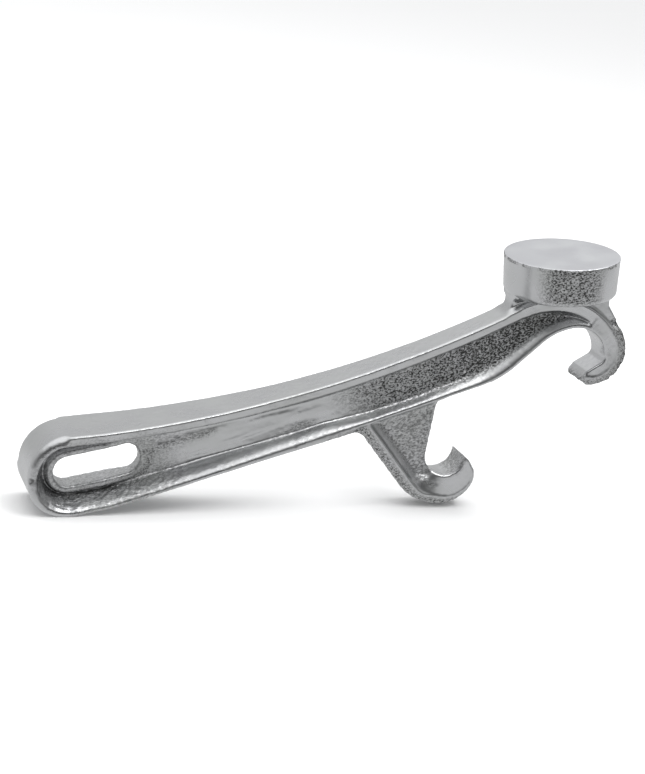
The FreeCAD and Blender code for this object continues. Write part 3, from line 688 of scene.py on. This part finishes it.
def plated_metal(name, base, dark, smooth_roughness, rough_roughness):
    """Plated metal, with painted shade: its pits are dark where the mesh is rough, and it darkens
    down in its hollows.
    """
    material = bpy.data.materials.new(name)
    material.use_nodes = True
    tree = material.node_tree
    shader = tree.nodes["Principled BSDF"]
    shader.inputs["Metallic"].default_value = 1.0
    link = tree.links.new
    place = node(tree, "ShaderNodeTexCoord")
    zone = node(tree, "ShaderNodeAttribute", attribute_name="rough")
    hollow_shade_zone = node(tree, "ShaderNodeAttribute", attribute_name="hollow_shade")

    speck = node(tree, "ShaderNodeTexNoise", in_Scale=SPECKS_PER_METRE, in_Detail=3.0,
                 in_Roughness=0.6)
    drawn_out = node(tree, "ShaderNodeMapping", vector_type="TEXTURE",
                     in_Rotation=(0.0, -HANDLE_SLOPE, 0.0), in_Scale=(SPECK_STRETCH, 1.0, 1.0))
    link(place.outputs["Object"], drawn_out.inputs["Vector"])
    link(drawn_out.outputs["Vector"], speck.inputs["Vector"])
    patch = node(tree, "ShaderNodeTexNoise", in_Scale=PATCHES_PER_METRE, in_Detail=2.0)
    link(place.outputs["Object"], patch.inputs["Vector"])

    pits = node(tree, "ShaderNodeMapRange", in_1=PIT_RIM, in_2=PIT_FLOOR, in_3=0.0, in_4=1.0)
    link(speck.outputs["Fac"], pits.inputs[0])
    pitted = node(tree, "ShaderNodeMath", operation="MULTIPLY", use_clamp=True)
    link(pits.outputs[0], pitted.inputs[0])
    link(zone.outputs["Fac"], pitted.inputs[1])
    # Painted shade: the pits and the hollows are mixed towards the dark colour.
    painted_shade = node(tree, "ShaderNodeMath", operation="MAXIMUM", use_clamp=True)
    link(pitted.outputs[0], painted_shade.inputs[0])
    link(hollow_shade_zone.outputs["Fac"], painted_shade.inputs[1])

    duller = [part * share for part, share in zip(base, DULL_TINT)]
    tint = node(tree, "ShaderNodeMix", data_type="RGBA", in_6=(*base, 1), in_7=(*duller, 1))
    link(patch.outputs["Fac"], tint.inputs[0])
    colour = node(tree, "ShaderNodeMix", data_type="RGBA", in_7=(*dark, 1))
    link(painted_shade.outputs[0], colour.inputs[0])
    link(tint.outputs[2], colour.inputs[6])
    link(colour.outputs[2], shader.inputs["Base Color"])

    sheen = node(tree, "ShaderNodeMapRange", in_1=0.0, in_2=1.0, in_3=smooth_roughness,
                 in_4=rough_roughness)
    link(zone.outputs["Fac"], sheen.inputs[0])
    varied = node(tree, "ShaderNodeMapRange", in_1=0.3, in_2=0.7, in_3=-0.05, in_4=0.07)
    link(patch.outputs["Fac"], varied.inputs[0])
    summed = node(tree, "ShaderNodeMath", operation="ADD", use_clamp=True)
    link(sheen.outputs[0], summed.inputs[0])
    link(varied.outputs[0], summed.inputs[1])
    link(summed.outputs[0], shader.inputs["Roughness"])

    relief = node(tree, "ShaderNodeMath", operation="MULTIPLY_ADD", in_1=0.9, in_2=0.06)
    link(zone.outputs["Fac"], relief.inputs[0])
    bump = node(tree, "ShaderNodeBump", in_Distance=PIT_DEPTH)
    link(relief.outputs[0], bump.inputs["Strength"])
    link(speck.outputs["Fac"], bump.inputs["Height"])
    link(bump.outputs[0], shader.inputs["Normal"])
    return material


# The second colour of each is the painted shade in pits and hollows.
plated = plated_metal("plated_cast_iron", (0.58, 0.58, 0.60), (0.06, 0.06, 0.058), 0.27, 0.42)
ground = plated_metal("plated_ground_iron", (0.66, 0.66, 0.70), (0.10, 0.10, 0.098), 0.36, 0.42)

# --------------------------------------------------------------- cutting the casting into pieces

# The painted shade down in hollows: how far out the field is probed, the depth of full shade and
# its strength.
HOLLOW_PROBE, HOLLOW_FULL, HOLLOW_SHADE = 1.2, 0.9, 0.8


def whole_casting():
    """The surface of the field, still in the tool's plane and in millimetres."""
    mesh = bpy.data.meshes.new("casting")
    mesh.from_pydata(net_points.tolist(), [], net_faces.tolist())
    work = bmesh.new()
    work.from_mesh(mesh)
    bpy.data.meshes.remove(mesh)
    return work


def split(work, origin, angle):
    """Cuts at a plane across the tool's plane. The first part is where the plane's normal, at
    angle in the tool's plane, points; the cut is closed with flat faces."""
    normal = Vector((cos(radians(angle)), 0, sin(radians(angle))))
    parts = []
    for sign in (-1, 1):
        part = work.copy()
        geometry = part.verts[:] + part.edges[:] + part.faces[:]
        bmesh.ops.bisect_plane(part, geom=geometry, dist=1e-6, plane_co=(origin[0], 0, origin[1]),
                               plane_no=normal * sign, clear_outer=True)
        caps = part.faces.layers.int.get("cap") or part.faces.layers.int.new("cap")
        rim_edges = [item for item in part.edges if item.is_boundary]
        filled = bmesh.ops.triangle_fill(part, edges=rim_edges, use_beauty=True)
        for item in filled["geom"]:
            if isinstance(item, bmesh.types.BMFace):
                item[caps] = 1
        bmesh.ops.recalc_face_normals(part, faces=part.faces[:])
        parts.append(part)
    work.free()
    return parts


def attribute_values(place, normal):
    """The roughness of the cast skin, and the painted shade for how far a place is down in a
    hollow.
    """
    roughness = sample_map(rough, place)
    curve = sample(casting_field, place + HOLLOW_PROBE * normal) - HOLLOW_PROBE
    return roughness, HOLLOW_SHADE * np.clip(-curve / HOLLOW_FULL, 0, 1)


def paint_skin(mesh, roughness, hollow_shade):
    """Stores what the material reads at each vertex."""
    for label, values in (("rough", roughness), ("hollow_shade", hollow_shade)):
        layer = mesh.attributes.new(label, "FLOAT", "POINT")
        layer.data.foreach_set("value", values.astype(np.float32))


def set_normals(mesh, vertex_normals):
    """Smooth normals from the field on the skin, and flat ones on the closed cuts."""
    cap = np.zeros(len(mesh.polygons), np.int32)
    mesh.attributes["cap"].data.foreach_get("value", cap)
    totals = np.zeros(len(mesh.polygons), np.int32)
    mesh.polygons.foreach_get("loop_total", totals)
    loop_vertex = np.zeros(len(mesh.loops), np.int32)
    mesh.loops.foreach_get("vertex_index", loop_vertex)
    flat = np.zeros(len(mesh.polygons) * 3)
    mesh.polygons.foreach_get("normal", flat)
    face_of_loop = np.repeat(np.arange(len(mesh.polygons)), totals)
    loop_normals = vertex_normals[loop_vertex]
    on_cap = cap[face_of_loop] > 0
    loop_normals[on_cap] = flat.reshape(-1, 3)[face_of_loop[on_cap]]
    mesh.attributes.remove(mesh.attributes["cap"])
    mesh.polygons.foreach_set("use_smooth", np.ones(len(mesh.polygons), bool))
    mesh.normals_split_custom_set(loop_normals.tolist())


def add_piece(mesh, name, nodes):
    """Hangs a piece on the frame, in place of the CAD nodes that it shows."""
    piece = bpy.data.objects.new(name, mesh)
    bpy.context.scene.collection.objects.link(piece)
    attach(piece, "root")
    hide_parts(*nodes)


def finish_piece(work, name, nodes, material):
    """Makes a part of the casting into a visual piece of the frame."""
    mesh = bpy.data.meshes.new(name)
    work.to_mesh(mesh)
    work.free()
    count = len(mesh.vertices)
    place = np.empty(count * 3)
    mesh.vertices.foreach_get("co", place)
    place = place.reshape(-1, 3)
    normal = gradient(casting_field, place)
    normal /= np.maximum(np.linalg.norm(normal, axis=1), 1e-9)[:, None]
    roughness, hollow_shade = attribute_values(place, normal)
    paint_skin(mesh, roughness, hollow_shade)
    mesh.vertices.foreach_set("co", stand(place).ravel())
    mesh.update()
    set_normals(mesh, stand_direction(normal))
    mesh.materials.append(material)
    add_piece(mesh, name, nodes)


HANG_CUT, HEAD_CUT, JAW_CUT_TURN = 42.0, 208.0, 245.0
HOOK_CUT, HOOK_CUT_SLOPE = (137.0, 3.2), 14.04
beyond_hang, hang_end = split(whole_casting(), (HANG_CUT, 0.0), 0)
head_and_hook, handle_and_side = split(beyond_hang, (HEAD_CUT, 0.0), 0)
grip, side_hook = split(handle_and_side, HOOK_CUT, HOOK_CUT_SLOPE + 90)
side_jaw_part, side_gusset = split(side_hook, HEEL, JAW_CUT_TURN + 90)
end_jaw, head_part = split(head_and_hook, CREST, pocket_turn - 90)

GRIP_NODES = ["upper_flange_grip", "upper_flange_neck", "lower_flange_grip",
              "lower_flange_belly", "handle_web"]
finish_piece(hang_end, "hang_end", ["end_loop", "slot_collar"], plated)
finish_piece(grip, "grip", GRIP_NODES, plated)
finish_piece(head_part, "head", ["crest_flange", "hammer_neck"], plated)
finish_piece(end_jaw, "end_hook", ["end_hook_jaw"], plated)
finish_piece(side_gusset, "side_hook", ["side_hook_rim", "side_hook_gusset"], plated)
finish_piece(side_jaw_part, "side_hook_tip", ["side_hook_jaw"], plated)

# ----------------------------------------------------------------------------- the hammer disc


TOP_RINGS, EDGE_TURNS, WALL_RINGS, UNDER_RINGS = 15, (30, 60, 90), 33, 28
DISC_SEGMENTS, DENT_DEPTH, WAVE_DEPTH = 320, 0.22, 0.05
TOP_EDGE_RING = TOP_RINGS + len(EDGE_TURNS) - 1


def lathe_profile():
    """Radius, height and roughness zone of each ring of the disc, from its top to its underside."""
    top_round, low_round, draft = 0.35, 2.6, 0.6
    top_radii = np.linspace(0.0, DISC_RADIUS - top_round, TOP_RINGS + 1)[1:]
    rings = [(r, DISC_FACE, 0.0) for r in top_radii]
    for turn in EDGE_TURNS:
        rings.append((DISC_RADIUS - top_round + top_round * sin(radians(turn)),
                      DISC_FACE - top_round + top_round * cos(radians(turn)), 0.0))
    wall = DISC_THICKNESS - top_round - low_round
    for k in range(1, WALL_RINGS + 1):
        share = k / WALL_RINGS
        rings.append((DISC_RADIUS - draft * share, DISC_FACE - top_round - wall * share, 1.0))
    low_radius = DISC_RADIUS - draft
    for turn in (20, 40, 60, 75, 90):
        rings.append((low_radius - low_round + low_round * cos(radians(turn)),
                      DISC_UNDER + low_round - low_round * sin(radians(turn)), 0.5))
    under_radii = np.linspace(low_radius - low_round, 0.0, UNDER_RINGS + 2)[1:-1]
    return rings + [(r, DISC_UNDER, 0.5) for r in under_radii]


def wrapped_noise(rows, columns, sigma_rows, sigma_columns):
    """Seeded noise on a ring: the columns run round and meet."""
    grid = random.standard_normal((rows, columns))
    frequency_r = np.fft.fftfreq(rows)[:, None]
    frequency_c = np.fft.fftfreq(columns)[None, :]
    keep = np.exp(-2 * np.pi**2 * ((sigma_rows * frequency_r)**2
                                   + (sigma_columns * frequency_c)**2))
    grid = np.fft.ifft2(np.fft.fft2(grid) * keep).real
    return grid / grid.std()


def disc_rings():
    """The places of each ring's points and their roughness: pits at the front and the back of the
    wall, slow waves, and a chipped top edge. The material paints the pits and the chipped edge dark
    as painted shade."""
    rings = lathe_profile()
    turn = 2 * np.pi * np.arange(DISC_SEGMENTS) / DISC_SEGMENTS
    pits = np.clip(wrapped_noise(len(rings), DISC_SEGMENTS, 1.1, 1.1) - 0.4, 0, 2)
    waves = wrapped_noise(len(rings), DISC_SEGMENTS, 7.0, 9.0)
    bearing_of = np.degrees(turn)
    chipped = fade(wrapped_noise(3, DISC_SEGMENTS, 1.0, 2.0)[1], -0.35, 0.15)
    pitted = np.maximum(fade(bearing_of, 214, 240) * fall(bearing_of, 272, 297),
                        fade(bearing_of, 60, 80) * fall(bearing_of, 125, 150) * 0.8)
    places, roughness = [], []
    for number, (radius, level, zone) in enumerate(rings):
        dent = zone * (DENT_DEPTH * pitted * pits[number] + WAVE_DEPTH * waves[number])
        wall = number < len(rings) - UNDER_RINGS
        r = radius - dent if wall else np.full(DISC_SEGMENTS, radius)
        places.append(np.stack([DISC_X + r * np.cos(turn), r * np.sin(turn),
                                np.full(DISC_SEGMENTS, level)], axis=1))
        by_edge = abs(number - TOP_EDGE_RING) < 3
        roughness.append(np.maximum(zone * pitted, 0.9 * chipped * by_edge))
    return places, roughness


def disc_faces(rows):
    """The faces between the rings and to both middle points, and which of them are ground."""
    faces, ground_faces = [], []
    for row in range(rows - 1):
        for k in range(DISC_SEGMENTS):
            after = (k + 1) % DISC_SEGMENTS
            faces.append((row * DISC_SEGMENTS + k, (row + 1) * DISC_SEGMENTS + k,
                          (row + 1) * DISC_SEGMENTS + after, row * DISC_SEGMENTS + after))
            ground_faces.append(row <= TOP_RINGS)
    top_middle, low_middle, last_row = rows * DISC_SEGMENTS, rows * DISC_SEGMENTS + 1, rows - 1
    for k in range(DISC_SEGMENTS):
        after = (k + 1) % DISC_SEGMENTS
        faces.append((top_middle, k, after))
        ground_faces.append(True)
        faces.append((low_middle, last_row * DISC_SEGMENTS + after, last_row * DISC_SEGMENTS + k))
        ground_faces.append(False)
    return faces, ground_faces


def hammer_disc():
    places, roughness = disc_rings()
    faces, ground_faces = disc_faces(len(places))
    place = np.concatenate(places + [np.array([[DISC_X, 0, DISC_FACE], [DISC_X, 0, DISC_UNDER]])])
    mesh = bpy.data.meshes.new("hammer_disc_face")
    mesh.from_pydata(stand(place).tolist(), [], faces)
    mesh.polygons.foreach_set("use_smooth", np.ones(len(faces), bool))
    mesh.polygons.foreach_set("material_index", np.array(ground_faces, np.int32))
    zone = np.concatenate(roughness + [np.zeros(2)])
    paint_skin(mesh, zone, zone * 0)
    mesh.materials.append(plated)
    mesh.materials.append(ground)
    mesh.update()
    mesh.set_sharp_from_angle(angle=radians(50))
    add_piece(mesh, "hammer", ["hammer_disc"])


hammer_disc()

# ------------------------------------------------------------------- floor, light and camera

FLOOR_REACH = 15.0
floor_mesh = bpy.data.meshes.new("floor")
corners = [(-FLOOR_REACH, -FLOOR_REACH, 0), (FLOOR_REACH, -FLOOR_REACH, 0),
           (FLOOR_REACH, FLOOR_REACH, 0), (-FLOOR_REACH, FLOOR_REACH, 0)]
floor_mesh.from_pydata(corners, [], [(0, 1, 2, 3)])
floor = bpy.data.objects.new("floor", floor_mesh)
bpy.context.scene.collection.objects.link(floor)
# Seen in the plating, the bright floor would turn the whole tool white.
floor.visible_glossy = False
floor_paint = bpy.data.materials.new("floor_paint")
floor_paint.use_nodes = True
paint = floor_paint.node_tree.nodes["Principled BSDF"]
paint.inputs["Base Color"].default_value = (0.93, 0.93, 0.93, 1)
paint.inputs["Roughness"].default_value = 0.9
paint.inputs["Specular IOR Level"].default_value = 0.1
floor_mesh.materials.append(floor_paint)

world = bpy.data.worlds.new("studio")
bpy.context.scene.world = world
world.use_nodes = True
sky = world.node_tree
background = sky.nodes["Background"]
look = node(sky, "ShaderNodeTexCoord")
direction = node(sky, "ShaderNodeSeparateXYZ")
sky.links.new(look.outputs["Generated"], direction.inputs[0])
# A bright ceiling, a pale wall behind the tool, a dark room in front of it, and a grey table
# where the floor would be reflected.
wall = node(sky, "ShaderNodeMapRange", in_1=-0.75, in_2=0.35, in_3=0.10, in_4=0.66)
sky.links.new(direction.outputs["Y"], wall.inputs[0])
ceiling = node(sky, "ShaderNodeMapRange", in_1=0.38, in_2=0.90, in_3=0.0, in_4=1.0,
               interpolation_type="SMOOTHSTEP")
sky.links.new(direction.outputs["Z"], ceiling.inputs[0])
above_wall = node(sky, "ShaderNodeMix", data_type="FLOAT", in_3=1.35)
sky.links.new(ceiling.outputs[0], above_wall.inputs[0])
sky.links.new(wall.outputs[0], above_wall.inputs[2])
table = node(sky, "ShaderNodeMapRange", in_1=0.02, in_2=-0.20, in_3=0.0, in_4=1.0)
sky.links.new(direction.outputs["Z"], table.inputs[0])
blend = node(sky, "ShaderNodeMix", data_type="FLOAT", in_3=0.78)
sky.links.new(table.outputs[0], blend.inputs[0])
sky.links.new(above_wall.outputs[0], blend.inputs[2])
sky.links.new(blend.outputs[0], background.inputs["Strength"])
background.inputs["Color"].default_value = (0.99, 0.995, 1.0, 1)


def softbox(name, place, aim, width, breadth, power):
    """A rectangular lamp at a place, aimed at a point."""
    light = bpy.data.lights.new(name, "AREA")
    light.shape = "RECTANGLE"
    light.size, light.size_y, light.energy = width, breadth, power
    lamp = bpy.data.objects.new(name, light)
    lamp.location = place
    lamp.rotation_euler = (Vector(aim) - Vector(place)).to_track_quat("-Z", "Y").to_euler()
    bpy.context.scene.collection.objects.link(lamp)
    return lamp


softbox("fill", (0, 0.3, 1.6), (0, 0, 0), 2.0, 2.0, 9.0).visible_glossy = False
softbox("key", (0.35, -0.12, 0.95), (0, 0, 0.05), 1.0, 0.3, 5.0)

# The camera's place is worked out in the tool's plane, about a target point in it.
YAW, ELEVATION, CAMERA_ROLL = radians(20.35), radians(20.55), radians(1.64)
TARGET, DISTANCE, LENS = (121.0, 0.0, 25.1), 800.0, 80.65
back = np.array([-sin(YAW) * cos(ELEVATION), -cos(YAW) * cos(ELEVATION), sin(ELEVATION)])
level = np.array([cos(YAW), -sin(YAW), 0.0])
above = np.cross(level, -back)
right = level * cos(CAMERA_ROLL) + above * sin(CAMERA_ROLL)
up = above * cos(CAMERA_ROLL) - level * sin(CAMERA_ROLL)
turned = stand_direction(np.array([right, up, back]))
eye = stand(np.array([TARGET + back * DISTANCE]))[0]
camera = bpy.data.objects.new("camera", bpy.data.cameras.new("camera"))
camera.data.lens = LENS
camera.data.clip_start = 0.01
camera.matrix_world = Matrix([[*turned[:, k], eye[k]] for k in range(3)] + [[0, 0, 0, 1]])
bpy.context.scene.collection.objects.link(camera)
bpy.context.scene.camera = camera
bpy.context.scene.view_settings.view_transform = "Standard"
